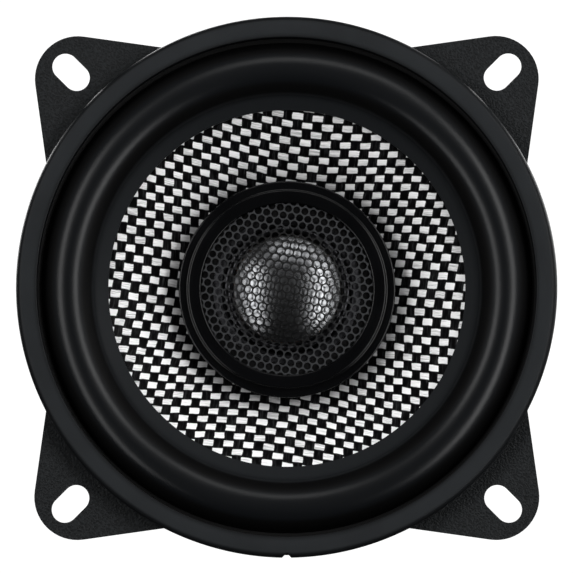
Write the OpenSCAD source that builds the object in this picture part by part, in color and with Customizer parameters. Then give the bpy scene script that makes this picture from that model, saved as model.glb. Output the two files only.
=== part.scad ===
// Coaxial car loudspeaker: a woven cone woofer with a dome tweeter on a post in its middle.
// Each piece is drawn around +Z with the rear face of the flange at zero and the listener at +Z.
// stand() then turns it to its place: the axis level, facing -Y, with +Z up.

/* [Flange] */
// Diameter over the round flange
flange_d = 103; // [85:0.5:125]
// Thickness of the basket's sheet steel
sheet_t = 1; // [0.8:0.1:1.5]
// Width of the round flange outside the neck
flange_w = 5.5; // [5:0.1:7]
// Distance from the flange's edge out to each slot's centre
slot_offset = 6.8; // [6:0.1:9]
// Width of each mounting slot
slot_w = 5; // [4:0.1:6]
// Length of each mounting slot over its round ends
slot_len = 8.1; // [7:0.1:10]
// Reach of each ear beyond its slot's centre
ear_margin = 6.9; // [6:0.1:9]
// Corner radius of each ear
ear_corner_r = 8.2; // [6:0.1:10]
// Inward lean of each ear's straight edges, in degrees
ear_taper = 8; // [4:1:12]

/* [Basket] */
// Length of the plain neck that passes through the panel
neck_len = 4; // [3:0.5:8]
// Width of each of the four spokes
spoke_w = 12; // [9:0.5:15]
// Corner radius of the windows between the spokes
window_r = 4; // [2:0.5:5]
// Width of the ledge that carries the spider
ledge_w = 5.2; // [4.5:0.1:7]
// Free height between the ledge and the basket's floor
spider_room = 5; // [4.6:0.1:9]

/* [Trim ring] */
// Height of the trim ring above the flange
trim_h = 5; // [4.8:0.1:7]
// Width of the trim ring's front face
trim_w = 4; // [3:0.1:5]
// Radius of the trim ring's outer front edge
trim_round = 1.1; // [0.5:0.1:1.5]
// Depth of the index notch in the trim ring's edge
notch_depth = 0.9; // [0.5:0.1:1.2]

/* [Cone] */
// Width of the surround's half roll
roll_w = 8.8; // [7:0.1:11]
// Height of the surround's half roll
roll_h = 3.6; // [2.5:0.1:3.8]
// Thickness of the rubber surround
roll_t = 0.6; // [0.4:0.1:0.9]
// Length of the surround's inner lip along the cone
lip_len = 3.9; // [3:0.1:6]
// Slope of the cone below the flange's plane, in degrees
cone_angle = 38; // [34:1:42]
// Thickness of the woven cone
cone_t = 0.7; // [0.5:0.1:1]
// Height of the cone's glued neck
collar_h = 2; // [1.5:0.1:3]
// Travel of the cone each way from rest
cone_travel = 3; // [2:0.1:3.5]

/* [Voice coil and spider] */
// Outer diameter of the woofer's coil former
former_d = 25.2; // [23:0.1:28]
// Wall of the coil former
former_t = 0.25; // [0.2:0.05:0.4]
// Thickness of the copper winding
winding_t = 0.5; // [0.3:0.05:0.8]
// Height of the copper winding
winding_h = 8; // [6:0.5:9]
// Distance from the cone's neck to the spider
spider_drop = 3.2; // [2.8:0.1:5]
// Outer diameter of the spider
spider_d = 60; // [54:0.5:66]
// Thickness of the spider's cloth
spider_t = 0.5; // [0.4:0.1:0.7]
// Height of the spider's waves each way
spider_wave = 0.8; // [0.4:0.1:1]
// Number of waves in the spider
spider_waves = 4; // [3:1:5]

/* [Motor] */
// Diameter of the ferrite magnet
magnet_d = 70; // [60:1:76]
// Height of the ferrite magnet
magnet_h = 11; // [8:0.5:14]
// Diameter of the front plate and of the yoke
plate_d = 62; // [58:1:68]
// Thickness of the front plate
plate_t = 4; // [3:0.5:5]
// Thickness of the yoke's disc
yoke_t = 4.5; // [3.5:0.5:6]
// Free gap on each side of the moving coil
coil_gap = 0.4; // [0.3:0.05:0.6]

/* [Tweeter] */
// Diameter over the tweeter's rim
tweeter_d = 38; // [36:0.5:42]
// Height of the tweeter from its floor to its rim
tweeter_h = 9; // [9:0.1:12]
// Width of the rim around the grille
rim_w = 2.1; // [1.6:0.1:3]
// Width of the skirt that stands out behind the rim
skirt_w = 1.8; // [0.8:0.1:2.4]
// Diameter of the grille's raised middle
grille_dome_d = 22.8; // [20:0.2:24]
// Height of the grille's raised middle
grille_dome_h = 2; // [1.8:0.1:3]
// Diameter of the sound dome
dome_d = 20; // [18:0.2:20.4]
// Height of the sound dome
dome_h = 2.4; // [2:0.1:2.6]
// Travel of the sound dome each way
dome_travel = 0.3; // [0.1:0.05:0.4]
// Diameter of the post that carries the tweeter
post_d = 11; // [10:0.5:14]
// Diameter of the post's threaded stud
stud_d = 8; // [7:0.5:9]

/* [Terminals] */
// Distance of each terminal from the middle of the board
terminal_y = 8.9; // [8.6:0.1:10]
// Width of the positive terminal
positive_w = 4.8; // [4:0.1:5.2]
// Width of the negative terminal
negative_w = 2.8; // [2.4:0.1:4]
// Thickness of the terminals
terminal_t = 0.8; // [0.5:0.1:1]
// Thickness of the terminal board
board_t = 2; // [1.5:0.1:3]
// Diameter of the filter capacitor
cap_d = 8; // [6:0.5:9]
// Length of the filter capacitor
cap_len = 13; // [10:0.5:13]

/* [Hidden] */
$fn = 96;

// Clearances: a line of glue, and a loose fit between fixed pieces
glue = 0.1;
loose = 0.1;
// Room left between the moving cone and the tweeter above it
cone_clear = 1.6;
over = 1;

// Flange and neck
flange_r = flange_d / 2;
basket_inset = 0.5;
neck_r = flange_r - flange_w;
slot_at = (flange_r + slot_offset) / sqrt(2);
ear_at = slot_at + ear_margin - ear_corner_r;

// Trim ring and surround, from the flange inwards
trim_z = sheet_t + trim_h;
trim_in_r = flange_r - trim_w;
surround_r = flange_r - 1.7;
roll_out_r = neck_r + 0.2;
roll_in_r = roll_out_r - roll_w;
roll_mid_r = (roll_out_r + roll_in_r) / 2;
roll_z = sheet_t + glue;
roll_r = (roll_w * roll_w / 4 + roll_h * roll_h) / (2 * roll_h);

// Cone: its front surface falls from the edge to the neck
cone_r = roll_in_r - 0.2;
edge_z = roll_z - roll_t - glue;
cone_slope = tan(cone_angle);
cone_back = cone_t / cos(cone_angle);
former_r = former_d / 2;
neck_in_r = former_r + glue;
collar_t = 0.7;
function cone_z(r) = edge_z - (cone_r - r) * cone_slope;
neck_z = cone_z(neck_in_r);

// Spider and ledge
spider_r = spider_d / 2;
spider_z = neck_z - spider_drop;
ledge_r = spider_r + 1;
ledge_z = spider_z - spider_t / 2 - glue;
cup_r = ledge_r - ledge_w;
floor_z = ledge_z - spider_room;
motor_z = floor_z - sheet_t;

// Windows: bands of the wall left above and below them, and their corners
window_top_z = -neck_len - 2.5;
window_low_z = ledge_z + 1.5;
window_corner = min(window_r, 0.45 * (window_top_z - window_low_z));

// Motor, from the basket's floor backwards
coil_out_r = former_r + winding_t;
plate_bore_r = coil_out_r + coil_gap;
plate_r = plate_d / 2;
plate_back_z = motor_z - plate_t;
magnet_back_z = plate_back_z - magnet_h;
rear_z = magnet_back_z - yoke_t;
coil_z = motor_z - plate_t / 2;
former_low_z = coil_z - winding_h / 2 - 0.5;
pole_r = former_r - former_t - coil_gap;
pole_z = motor_z + 1;
floor_hole_r = plate_bore_r + 3;
magnet_bore_r = plate_bore_r + 3;
rivet_r = 1.5;
rivet_head_r = 2.6;
rivet_head_h = 1.1;
rivet_at = (floor_hole_r + cup_r - sheet_t) / 2;

// Post and its nut in the yoke's recess
stud_r = stud_d / 2;
stud_bore_r = 2;
washer_t = 1.2;
nut_h = 4.5;
nut_r = stud_r + 3.5;
recess_r = nut_r + 1.5;
recess_h = washer_t + nut_h + 0.3;
post_base_r = pole_r - 2.5;
post_base_h = 2;
post_r = post_d / 2;
head_t = 1.6;
screw_r = 1;
screw_head_r = 1.9;
screw_head_h = 1.1;
screw_at = post_r + screw_head_r + loose;
head_r = screw_at + screw_head_r + 0.2;
screw_bite = 1.2;

// Tweeter, from its floor forwards; the floor clears the cone at the end of its travel
tweeter_r = tweeter_d / 2;
housing_low_r = 13.4;
housing_wall = 0.8;
floor_t = 1.6;
housing_z = cone_z(housing_low_r) + cone_travel + cone_clear;
tweeter_z = housing_z + tweeter_h;
shoulder_z = tweeter_z - 2.4;
grille_r = tweeter_r - rim_w;
grille_t = 0.5;
grille_z = tweeter_z - 0.8;
rim_lip = 0.4;
skirt_t = 0.9;
dome_r = dome_d / 2;
dome_t = 0.3;
dome_z = tweeter_z - 2 - 2 * dome_travel;
coil_wall = 0.4;
tweeter_gap = 0.35;
cap_r = dome_r - coil_wall / 2 - tweeter_gap;
cup_in_r = dome_r + coil_wall / 2 + tweeter_gap;
cup_wall = 1.5;
cup_floor = 1.2;
cup_floor_z = housing_z + floor_t;
cap_t = 1.2;
pole_cap_z = dome_z - 2 * dome_travel;
carrier_t = 1.2;
carrier_z = dome_z - glue;
carrier_in_r = dome_r + 2.5;
carrier_r = tweeter_r - housing_wall - 1.8;

// Terminals on a tab of the ledge, on the +X side
tab_w = 11;
wing_end = ledge_r + 6.5;
board_w = 2 * terminal_y + 6.6;
board_start = ledge_r + 0.3;
board_z = ledge_z - sheet_t;
board_back_z = board_z - board_t;
terminal_start = board_start + 1;
terminal_len = 11.5;
eyelet_x = terminal_start + 2.2;
eyelet_r = 1.1;
eyelet_head_r = 1.7;
eyelet_head_h = 0.4;
tab_rivet_y = 3.2;
tab_rivet_r = 1;
tab_rivet_head_r = 1.5;
tab_rivet_head_h = 0.7;
cap_z = ledge_z + cap_d / 2 + glue;
cap_clear = 0.3;
wall_lean = (neck_r - ledge_r - sheet_t) / (ledge_z - sheet_t + neck_len);
band_r = ledge_r + sheet_t - (window_low_z - ledge_z + sheet_t) * wall_lean;
cap_x = band_r + sqrt(pow(cap_d / 2 + cap_clear, 2) - pow(cap_z - window_low_z, 2));
tab_rivet_x = cap_x + cap_d / 2 + 0.2;
tab_end = tab_rivet_x + 1.8;
wire_r = 0.35;
wire_bend = 1.2;
wire_reach = 0.8;
wire_y = cap_len / 2 + wire_bend + 0.6;

// Leads: two braided ones to the cone, and an insulated pair to the tweeter
tinsel_r = 0.6;
tinsel_sides = 8;
tinsel_rings = 24;
tinsel_rise = 7;
tinsel_y = 3;
tinsel_share = 0.35;
pair_r = 0.5;
pair_y = 0.6;
pair_bend = 2;
pair_x = max(magnet_d / 2, board_start) + pair_r + 0.3;
pair_z = rear_z - pair_r - 0.1;

// ---- Shared shapes ----

module stand() rotate([90, 0, 0]) children();

// A plain ring between two radii and two heights
module ring(r_in, r_out, z_low, z_high) {
    rotate_extrude() translate([r_in, z_low]) square([r_out - r_in, z_high - z_low]);
}

// A ring with small chamfers on its outer edges
module chamfered_ring(r_in, r_out, z_low, z_high, c) {
    rotate_extrude() polygon([[r_in, z_low], [r_out - c, z_low], [r_out, z_low + c],
        [r_out, z_high - c], [r_out - c, z_high], [r_in, z_high]]);
}

// The outline stretched round equal circles at the corners of a convex shape
function edge_normal(p, q) = [q[1] - p[1], p[0] - q[0]] / norm(q - p);
module rounded(corners, r) {
    n = len(corners);
    polygon([for (i = [0 : n - 1])
        let (p = corners[i], before = corners[(i + n - 1) % n], after = corners[(i + 1) % n])
        each [p + r * edge_normal(before, p), p + r * edge_normal(p, after)]]);
    for (p = corners) translate(p) circle(r);
}

// The same outline with each round corner drawn as short straight steps
module stepped(corners, r, steps) {
    n = len(corners);
    polygon([for (i = [0 : n - 1])
        let (p = corners[i], from = edge_normal(corners[(i + n - 1) % n], p),
            to = edge_normal(p, corners[(i + 1) % n]))
        for (k = [0 : steps]) let (lean = from * (steps - k) + to * k) p + r * lean / norm(lean)]);
}

// Half of a spherical shell's section: radius and height of its rim, and wall
module cap_section(r, h, t) {
    ball = (r * r + h * h) / (2 * h);
    intersection() {
        translate([0, h - ball]) difference() {
            circle(ball);
            circle(ball - t);
        }
        square([r, h + over]);
    }
}

// A fastener along -Z with its head above zero
module rivet(r, length, head_r, head_h) {
    cylinder(r = head_r, h = head_h);
    translate([0, 0, -length]) cylinder(r = r, h = length + head_h / 2);
}

// A round tube along a flat curve; side is the direction square to the curve's plane
module tube(path, r, side, sides) {
    n = len(path);
    function heading(i) = let (d = path[min(i + 1, n - 1)] - path[max(i - 1, 0)]) d / norm(d);
    points = [for (i = [0 : n - 1]) for (k = [0 : sides - 1])
        let (a = 360 * k / sides)
        path[i] + r * (cos(a) * side + sin(a) * cross(heading(i), side))];
    walls = [for (i = [0 : n - 2]) for (k = [0 : sides - 1])
        let (j = (k + 1) % sides)
        [i * sides + k, i * sides + j, (i + 1) * sides + j, (i + 1) * sides + k]];
    first = [for (k = [sides - 1 : -1 : 0]) k];
    last = [for (k = [0 : sides - 1]) (n - 1) * sides + k];
    polyhedron(points, concat([first], walls, [last]));
}

// ---- Frame ----

module ear_outline() {
    along = [-cos(ear_taper), -sin(ear_taper)];
    square_to = [-sin(ear_taper), cos(ear_taper)];
    top = [ear_at, ear_at] + ear_corner_r * square_to;
    inner = top + ear_at * along;
    polygon([[0, 0], inner, top, [top[1], top[0]], [inner[1], inner[0]]]);
    translate([ear_at, ear_at]) circle(ear_corner_r);
}

module slot_outline() {
    half = (slot_len - slot_w) / 2;
    translate([slot_at, slot_at]) rotate(45) rounded([[-half, 0], [half, 0]], slot_w / 2);
}

module flange_plate() {
    linear_extrude(sheet_t) difference() {
        union() {
            circle(flange_r - basket_inset);
            for (k = [0 : 3]) rotate(90 * k) ear_outline();
        }
        circle(neck_r - sheet_t);
        for (k = [0 : 3]) rotate(90 * k) slot_outline();
    }
}

module bowl() {
    t = sheet_t;
    rotate_extrude() polygon([
        [neck_r, sheet_t], [neck_r - t, sheet_t],
        [neck_r - t, -neck_len], [ledge_r, ledge_z],
        [cup_r - t, ledge_z], [cup_r - t, floor_z],
        [floor_hole_r, floor_z], [floor_hole_r, motor_z],
        [cup_r, motor_z], [cup_r, ledge_z - t],
        [ledge_r + t, ledge_z - t], [neck_r, -neck_len]]);
}

module window_cutter() {
    margin = 2;
    high = window_top_z - window_corner;
    low = window_low_z + window_corner;
    wide = (neck_r - margin - spoke_w) / sqrt(2) - window_corner;
    narrow = (ledge_r + margin - spoke_w) / sqrt(2) - window_corner;
    // the outline lies across the radius, with its height along the axis
    translate([cup_r, 0, 0]) rotate([90, 0, 90]) linear_extrude(neck_r)
        stepped([[-narrow, low], [narrow, low], [wide, high], [-wide, high]], window_corner, 8);
}

module tab() {
    start = ledge_r - ledge_w / 2;
    half = tab_w / 2 - 1;
    translate([0, 0, ledge_z - sheet_t]) linear_extrude(sheet_t)
        rounded([[start, -half], [tab_end - 1, -half], [tab_end - 1, half], [start, half]], 1);
}

module basket() {
    color([0.14, 0.15, 0.16]) stand() difference() {
        union() {
            flange_plate();
            difference() {
                bowl();
                for (k = [0 : 3]) rotate(90 * k) window_cutter();
            }
            tab();
        }
        for (k = [0 : 3]) rotate(45 + 90 * k) translate([rivet_at, 0, motor_z - over])
            cylinder(r = rivet_r + loose, h = sheet_t + 2 * over);
        for (y = [-tab_rivet_y, tab_rivet_y]) translate([tab_rivet_x, y, board_z - over])
            cylinder(r = tab_rivet_r + loose, h = sheet_t + 2 * over);
    }
}

module trim_ring() {
    recess_out_r = surround_r + loose;
    recess_z = roll_z + roll_t + loose;
    color([0.17, 0.18, 0.2]) stand() difference() {
        rotate_extrude() difference() {
            union() {
                translate([trim_in_r, sheet_t]) square([trim_w - trim_round, trim_h]);
                translate([trim_in_r, sheet_t]) square([trim_w, trim_h - trim_round]);
                translate([flange_r - trim_round, trim_z - trim_round]) circle(trim_round);
            }
            translate([trim_in_r - over, 0]) square([recess_out_r - trim_in_r + over, recess_z]);
        }
        translate([0, -flange_r, sheet_t - over]) rotate(45)
            translate([-notch_depth, -notch_depth] / sqrt(2))
            cube([notch_depth * sqrt(2), notch_depth * sqrt(2), trim_h + 2 * over]);
    }
}

// ---- Moving cone and its suspension ----

module surround() {
    lip_z = roll_z - roll_t;
    lip_reach = lip_len * cos(cone_angle);
    lip_in_r = cone_r - lip_reach;
    lip_top = roll_t / cos(cone_angle);
    color([0.1, 0.1, 0.11]) stand() rotate_extrude() {
        translate([roll_out_r, roll_z]) square([surround_r - roll_out_r, roll_t]);
        intersection() {
            translate([roll_mid_r, roll_z + roll_h - roll_r]) difference() {
                circle(roll_r + roll_t);
                circle(roll_r);
            }
            translate([roll_in_r - roll_t, roll_z]) square([roll_w + 2 * roll_t, roll_h + over]);
        }
        polygon([
            [roll_in_r, roll_z + roll_t / 2], [roll_in_r - roll_t, roll_z + roll_t],
            [lip_in_r, cone_z(lip_in_r) + glue + lip_top],
            [lip_in_r, cone_z(lip_in_r) + glue],
            [cone_r, edge_z + glue], [roll_in_r, lip_z + roll_t / 2]]);
    }
}

module cone() {
    collar_r = neck_in_r + collar_t;
    color([0.8, 0.8, 0.8]) stand() rotate_extrude() polygon([
        [neck_in_r, neck_z], [cone_r, edge_z], [cone_r, edge_z - cone_back],
        [collar_r, cone_z(collar_r) - cone_back], [collar_r, neck_z - collar_h],
        [neck_in_r, neck_z - collar_h]]);
}

module former() {
    color([0.75, 0.6, 0.35]) stand()
        ring(former_r - former_t, former_r, former_low_z, neck_z + former_t);
}

module voice_coil() {
    color([0.72, 0.42, 0.2]) stand()
        ring(former_r, coil_out_r, coil_z - winding_h / 2, coil_z + winding_h / 2);
}

module spider() {
    start_r = former_r + glue;
    first = start_r + 1.2;
    last = cup_r - sheet_t - 0.3;
    steps = 8 * spider_waves;
    function wave(i) = [first + (last - first) * i / steps,
        spider_z + spider_wave * sin(360 * spider_waves * i / steps)];
    middle = concat([[start_r, spider_z]], [for (i = [0 : steps]) wave(i)],
        [[spider_r, spider_z]]);
    half = [0, spider_t / 2];
    color([0.75, 0.6, 0.3]) stand() rotate_extrude() polygon(concat(
        [for (p = middle) p - half],
        [for (i = [len(middle) - 1 : -1 : 0]) middle[i] + half]));
}

// Each lead rises from the cone's neck and comes down from above on its eyelet
module tinsel_leads() {
    start = [neck_in_r + collar_t + tinsel_r + 0.3, tinsel_y, neck_z - collar_h / 2];
    end = [eyelet_x, terminal_y, board_z + eyelet_head_h + glue];
    flat = [end[0] - start[0], end[1] - start[1], 0];
    side = [-flat[1], flat[0], 0] / norm(flat);
    c1 = start + flat * tinsel_share + [0, 0, tinsel_rise];
    c2 = end + [0, 0, 1.4 * tinsel_rise];
    path = [for (i = [0 : tinsel_rings]) let (u = i / tinsel_rings, v = 1 - u)
        v * v * v * start + 3 * v * v * u * c1 + 3 * v * u * u * c2 + u * u * u * end];
    color([0.65, 0.5, 0.3]) stand() {
        tube(path, tinsel_r, side, tinsel_sides);
        mirror([0, 1, 0]) tube(path, tinsel_r, side, tinsel_sides);
    }
}

// ---- Motor ----

module front_plate() {
    color([0.55, 0.56, 0.58]) stand() difference() {
        chamfered_ring(plate_bore_r, plate_r, plate_back_z, motor_z, 0.5);
        for (k = [0 : 3]) rotate(45 + 90 * k) translate([rivet_at, 0, plate_back_z - over])
            cylinder(r = rivet_r, h = plate_t + 2 * over);
    }
}

module magnet() {
    color([0.16, 0.16, 0.17]) stand()
        chamfered_ring(magnet_bore_r, magnet_d / 2, magnet_back_z, plate_back_z, 0.8);
}

module yoke() {
    color([0.55, 0.56, 0.58]) stand() difference() {
        union() {
            chamfered_ring(stud_r + loose, plate_r, rear_z, magnet_back_z, 0.8);
            chamfered_ring(stud_r + loose, pole_r, magnet_back_z - over, pole_z, 0.5);
        }
        translate([0, 0, rear_z - over]) cylinder(r = recess_r, h = recess_h + over);
    }
}

module basket_rivets() {
    color([0.6, 0.6, 0.62]) stand() for (k = [0 : 3])
        rotate(45 + 90 * k) translate([rivet_at, 0, floor_z])
        rivet(rivet_r, sheet_t + plate_t, rivet_head_r, rivet_head_h);
}

// ---- Tweeter post ----

// The two screws from the post's head up into the tweeter's floor
module at_screws(z) {
    for (x = [-screw_at, screw_at]) translate([x, 0, z]) children();
}

module tweeter_post() {
    head_z = housing_z - head_t;
    color([0.12, 0.12, 0.13]) stand() difference() {
        rotate_extrude() polygon([
            [stud_bore_r, rear_z], [stud_r, rear_z], [stud_r, pole_z],
            [post_base_r, pole_z], [post_base_r, pole_z + post_base_h],
            [post_r, pole_z + post_base_h], [post_r, head_z],
            [head_r, head_z], [head_r, housing_z], [stud_bore_r, housing_z]]);
        at_screws(head_z - over) cylinder(r = screw_r + loose, h = head_t + 2 * over);
    }
}

module post_washer() {
    top = rear_z + recess_h;
    color([0.7, 0.71, 0.73]) stand() ring(stud_r + loose, nut_r + 0.5, top - washer_t, top);
}

module post_nut() {
    low = rear_z + recess_h - washer_t - nut_h;
    color([0.66, 0.66, 0.62]) stand() translate([0, 0, low]) difference() {
        cylinder(r = nut_r, h = nut_h, $fn = 6);
        translate([0, 0, -over]) cylinder(r = stud_r + loose, h = nut_h + 2 * over);
    }
}

// ---- Tweeter ----

module tweeter_housing() {
    inner_low_r = housing_low_r - housing_wall;
    seat_r = tweeter_r - housing_wall;
    color([0.09, 0.09, 0.1]) stand() difference() {
        rotate_extrude() polygon([
            [stud_bore_r + loose, housing_z], [housing_low_r, housing_z],
            [seat_r, shoulder_z - 1], [seat_r, shoulder_z],
            [carrier_r + loose, shoulder_z], [carrier_r + loose, carrier_z - carrier_t],
            [cup_in_r + cup_wall + loose, carrier_z - carrier_t],
            [cup_in_r + cup_wall + loose, cup_floor_z],
            [stud_bore_r + loose, cup_floor_z]]);
        at_screws(housing_z - over) cylinder(r = screw_r, h = screw_bite + over);
    }
}

module tweeter_screws() {
    color([0.6, 0.6, 0.62]) stand() at_screws(housing_z - head_t)
        mirror([0, 0, 1]) rivet(screw_r, head_t + screw_bite, screw_head_r, screw_head_h);
}

module tweeter_rim() {
    edge = 0.6;
    color([0.06, 0.06, 0.07]) stand() rotate_extrude() difference() {
        union() {
            translate([grille_r - rim_lip, shoulder_z])
                square([rim_w + rim_lip - edge, tweeter_z - shoulder_z]);
            translate([grille_r, shoulder_z]) square([rim_w, tweeter_z - shoulder_z - edge]);
            translate([tweeter_r - edge, tweeter_z - edge]) circle(edge);
            translate([grille_r, shoulder_z]) square([rim_w + skirt_w, skirt_t]);
        }
        // the grille's edge is held under the lip
        translate([grille_r - rim_lip - over, shoulder_z - over])
            square([rim_lip + over + loose, grille_z - shoulder_z + over + loose / 2]);
    }
}

module tweeter_grille() {
    bulge_r = grille_dome_d / 2;
    low = grille_z - grille_t;
    color([0.08, 0.08, 0.09]) stand() rotate_extrude() {
        translate([bulge_r - grille_t, low]) square([grille_r - bulge_r + grille_t, grille_t]);
        translate([0, low]) cap_section(bulge_r, grille_dome_h + grille_t, grille_t);
    }
}

module dome_carrier() {
    top = carrier_z;
    color([0.1, 0.1, 0.11]) stand() ring(carrier_in_r, carrier_r, top - carrier_t, top);
}

module dome_surround() {
    roll = (carrier_in_r - dome_r - coil_wall) / 2;
    middle = dome_r + coil_wall + roll;
    color([0.2, 0.2, 0.21]) stand() rotate_extrude() {
        translate([carrier_in_r - dome_t, carrier_z + glue / 2]) square([2, dome_t]);
        intersection() {
            translate([middle, carrier_z + glue / 2]) difference() {
                circle(roll);
                circle(roll - dome_t);
            }
            translate([middle - roll, carrier_z + glue / 2]) square(2 * roll);
        }
    }
}

module dome() {
    color([0.82, 0.83, 0.85]) stand() translate([0, 0, dome_z])
        rotate_extrude() cap_section(dome_r + coil_wall / 2, dome_h, dome_t);
}

module tweeter_coil() {
    color([0.72, 0.42, 0.2]) stand() ring(dome_r - coil_wall / 2, dome_r + coil_wall / 2,
        pole_cap_z - cap_t - coil_wall, dome_z);
}

module pole_cap() {
    color([0.55, 0.56, 0.58]) stand() chamfered_ring(0, cap_r, pole_cap_z - cap_t, pole_cap_z, 0.2);
}

module tweeter_magnet() {
    color([0.7, 0.7, 0.72]) stand()
        ring(0, cap_r - 0.5, cup_floor_z + cup_floor, pole_cap_z - cap_t);
}

module tweeter_yoke() {
    outer_r = cup_in_r + cup_wall;
    inner_z = cup_floor_z + cup_floor;
    color([0.55, 0.56, 0.58]) stand() rotate_extrude() polygon([
        [0, cup_floor_z], [outer_r, cup_floor_z], [outer_r, pole_cap_z],
        [cup_in_r, pole_cap_z], [cup_in_r, inner_z], [0, inner_z]]);
}

// ---- Terminals ----

module terminal_board() {
    r = 1;
    half = tab_w / 2 - r;
    color([0.1, 0.1, 0.1]) stand() difference() {
        translate([0, 0, board_back_z]) linear_extrude(board_t) union() {
            rounded([[board_start + r, -half], [tab_end - r, -half],
                [tab_end - r, half], [board_start + r, half]], r);
            rounded([[board_start + r, r - board_w / 2], [wing_end - r, r - board_w / 2],
                [wing_end - r, board_w / 2 - r], [board_start + r, board_w / 2 - r]], r);
        }
        at_eyelets(board_back_z - over) cylinder(r = eyelet_r + loose, h = board_t + 2 * over);
        at_tab_rivets(board_back_z - over)
            cylinder(r = tab_rivet_r + loose, h = board_t + 2 * over);
        at_capacitor_wires(board_back_z - over)
            cylinder(r = wire_r + loose, h = board_t + 2 * over);
    }
}

module at_eyelets(z) {
    for (y = [-terminal_y, terminal_y]) translate([eyelet_x, y, z]) children();
}

module at_tab_rivets(z) {
    for (y = [-tab_rivet_y, tab_rivet_y]) translate([tab_rivet_x, y, z]) children();
}

module at_capacitor_wires(z) {
    for (y = [-1, 1]) translate([cap_x, y * wire_y, z]) children();
}

// A flat spade terminal along +X, narrower at its tip, with its eyelet hole and a hole in its tip
module spade(w, y) {
    tip = terminal_start + terminal_len;
    r = 0.8;
    tip_hole_r = 0.7;
    tip_hole_at = 3;
    half = w / 2 - r;
    stand() translate([0, y, board_back_z - terminal_t]) difference() {
        linear_extrude(terminal_t) difference() {
            rounded([[terminal_start + r, -half], [tip - 2 * r, -half], [tip - r, 0.4 * r - half],
                [tip - r, half - 0.4 * r], [tip - 2 * r, half], [terminal_start + r, half]], r);
            translate([tip - tip_hole_at, 0]) circle(tip_hole_r);
        }
        translate([eyelet_x, 0, -over]) cylinder(r = eyelet_r + loose, h = terminal_t + 2 * over);
        translate([cap_x, sign(y) * wire_y - y, -over])
            cylinder(r = wire_r + loose, h = terminal_t + 2 * over);
    }
}

module positive_terminal() {
    color([0.85, 0.7, 0.35]) spade(positive_w, terminal_y);
}

module negative_terminal() {
    color([0.78, 0.78, 0.76]) spade(negative_w, -terminal_y);
}

module terminal_eyelets() {
    low = board_back_z - terminal_t;
    color([0.8, 0.65, 0.35]) stand() at_eyelets(board_z) {
        rivet(eyelet_r, board_t + terminal_t, eyelet_head_r, eyelet_head_h);
        translate([0, 0, low - board_z - eyelet_head_h])
            cylinder(r = eyelet_head_r, h = eyelet_head_h);
    }
}

module terminal_rivets() {
    color([0.6, 0.6, 0.62]) stand() at_tab_rivets(ledge_z) {
        rivet(tab_rivet_r, sheet_t + board_t, tab_rivet_head_r, tab_rivet_head_h);
        translate([0, 0, -sheet_t - board_t - tab_rivet_head_h])
            cylinder(r = tab_rivet_head_r, h = tab_rivet_head_h);
    }
}

module capacitor() {
    color([0.12, 0.16, 0.3]) stand() translate([cap_x, cap_len / 2, cap_z]) rotate([90, 0, 0])
        cylinder(d = cap_d, h = cap_len);
}

// Each wire leaves an end of the capacitor, bends down and passes through the board
module capacitor_leads() {
    low = board_back_z - wire_reach;
    color([0.75, 0.75, 0.76]) stand() for (side = [0, 1]) mirror([0, side, 0]) {
        translate([cap_x, wire_y - wire_bend, cap_z - wire_bend]) rotate([90, 0, 90])
            rotate_extrude(angle = 90) translate([wire_bend, 0]) circle(wire_r);
        translate([cap_x, cap_len / 2, cap_z]) rotate([-90, 0, 0])
            cylinder(r = wire_r, h = wire_y - wire_bend - cap_len / 2);
        translate([cap_x, wire_y, low]) cylinder(r = wire_r, h = cap_z - wire_bend - low);
    }
}

// The insulated pair goes from the board back past the magnet, in across the yoke,
// and forward through the hollow stud and post into the tweeter's floor
module tweeter_leads() {
    back_start = board_back_z;
    module bend(turn) rotate([90, 0, 0]) rotate(turn) rotate_extrude(angle = 90)
        translate([pair_bend, 0]) circle(pair_r);
    color([0.15, 0.15, 0.16]) stand() for (y = [-pair_y, pair_y]) translate([0, y, 0]) {
        translate([pair_x, 0, pair_z + pair_bend])
            cylinder(r = pair_r, h = back_start - pair_z - pair_bend);
        translate([pair_x - pair_bend, 0, pair_z + pair_bend]) bend(270);
        translate([pair_bend, 0, pair_z]) rotate([0, 90, 0])
            cylinder(r = pair_r, h = pair_x - 2 * pair_bend);
        translate([pair_bend, 0, pair_z + pair_bend]) bend(180);
        translate([0, 0, pair_z + pair_bend])
            cylinder(r = pair_r, h = cup_floor_z - glue - pair_z - pair_bend);
    }
}

basket();
trim_ring();
surround();
cone();
former();
voice_coil();
spider();
tinsel_leads();
front_plate();
magnet();
yoke();
basket_rivets();
tweeter_post();
post_washer();
post_nut();
tweeter_housing();
tweeter_screws();
tweeter_rim();
tweeter_grille();
dome_carrier();
dome_surround();
dome();
tweeter_coil();
pole_cap();
tweeter_magnet();
tweeter_yoke();
terminal_board();
positive_terminal();
negative_terminal();
terminal_eyelets();
terminal_rivets();
capacitor();
capacitor_leads();
tweeter_leads();
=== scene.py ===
# %% [markdown]
# # A coaxial car loudspeaker
#
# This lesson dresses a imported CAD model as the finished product: a four inch woofer with a
# woven cone, and a small dome tweeter on a post in its middle. The CAD model gives every place
# and size. Some of its pieces keep their shape and get a finish, some have their edges
# softened, and others are made again here with the detail that a machined solid can't carry.

# %% Load the CAD model
import math
from functools import partialmethod

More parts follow.
